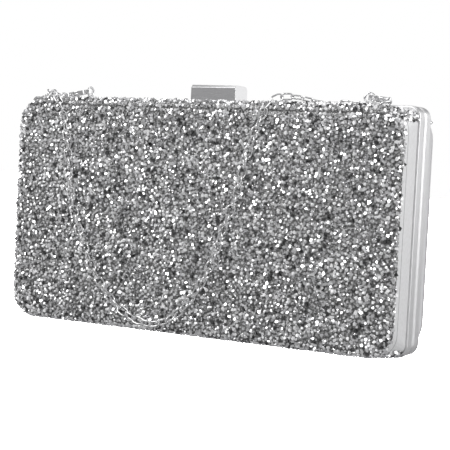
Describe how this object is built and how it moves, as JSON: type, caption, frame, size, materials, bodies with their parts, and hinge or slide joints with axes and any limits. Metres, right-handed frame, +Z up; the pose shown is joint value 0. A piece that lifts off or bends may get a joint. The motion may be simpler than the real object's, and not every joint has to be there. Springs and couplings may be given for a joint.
{
  "type": "evening bag",
  "caption": "Rectangular hard box clutch bag covered in crushed crystal stones, with two metal framed halves hinged at the base, a top block clasp and a short chain on lobster hooks.",
  "frame": {"origin": "centre of the bag's footprint, on the plane it rests on, at the parting plane between its two halves", "axes": "+X along the width, to the right seen from the front; -Y to the front face; +Z up"},
  "size_m": [0.2, 0.0481, 0.1142],
  "materials": {
    "polished_metal": "polished silver plate with fine brush lines",
    "chain_metal": "bright silver plate",
    "steel": "plain steel",
    "shell_plastic": "moulded, matt",
    "crystal_stones": "silver backed crushed crystal chips",
    "satin_band": "smooth metallic silver facing",
    "lining_fabric": "silver grey satin"
  },
  "bodies": {
    "front_half": {"front_frame": "polished_metal", "front_shell": "shell_plastic", "front_stone_cover": "crystal_stones", "front_side_band_left": "satin_band", "front_side_band_right": "satin_band", "front_lining": "lining_fabric", "hinge_left_front_leaf": "polished_metal", "hinge_right_front_leaf": "polished_metal", "hinge_left_pin": "steel", "hinge_right_pin": "steel", "clasp_bracket": "steel", "clasp_bracket_rivets": "steel", "clasp_pin": "steel", "clasp_spring": "steel", "chain_loop_left": "polished_metal", "chain_loop_right": "polished_metal", "hook_left_body": "chain_metal", "hook_left_pin": "steel", "hook_left_spring": "chain_metal", "hook_left_end_ring": "chain_metal", "hook_right_body": "chain_metal", "hook_right_pin": "steel", "hook_right_spring": "chain_metal", "hook_right_end_ring": "chain_metal", "chain_strap": "chain_metal"},
    "rear_half": {"rear_frame": "polished_metal", "rear_shell": "shell_plastic", "rear_stone_cover": "crystal_stones", "rear_side_band_left": "satin_band", "rear_side_band_right": "satin_band", "rear_lining": "lining_fabric", "hinge_left_rear_leaf": "polished_metal", "hinge_right_rear_leaf": "polished_metal", "clasp_catch": "steel", "clasp_catch_rivets": "steel"},
    "clasp_block": {"clasp_block": "polished_metal"},
    "hook_left_gate": {"hook_left_gate": "chain_metal"},
    "hook_right_gate": {"hook_right_gate": "chain_metal"}
  },
  "joints": [
    {"name": "bag_hinge", "type": "hinge", "parent": "front_half", "child": "rear_half", "pos_m": [0, 0, 0.0016], "axis": [-1, 0, 0], "range_deg": [0, 95]},
    {"name": "clasp_lift", "type": "hinge", "parent": "front_half", "child": "clasp_block", "pos_m": [0, -0.0033, 0.1089], "axis": [1, 0, 0], "range_deg": [0, 25], "stiffness_Nm_per_rad": 0.02, "springref_deg": -28.65},
    {"name": "hook_left_gate_turn", "type": "hinge", "parent": "front_half", "child": "hook_left_gate", "pos_m": [-0.07498, -0.00609, 0.10875], "axis": [0.1654, 0.1292, -0.9777], "range_deg": [0, 12], "stiffness_Nm_per_rad": 0.0004, "springref_deg": -17.19},
    {"name": "hook_right_gate_turn", "type": "hinge", "parent": "front_half", "child": "hook_right_gate", "pos_m": [0.08245, -0.00408, 0.10928], "axis": [0.0918, -0.0808, 0.9925], "range_deg": [0, 12], "stiffness_Nm_per_rad": 0.0004, "springref_deg": -17.19}
  ]
}
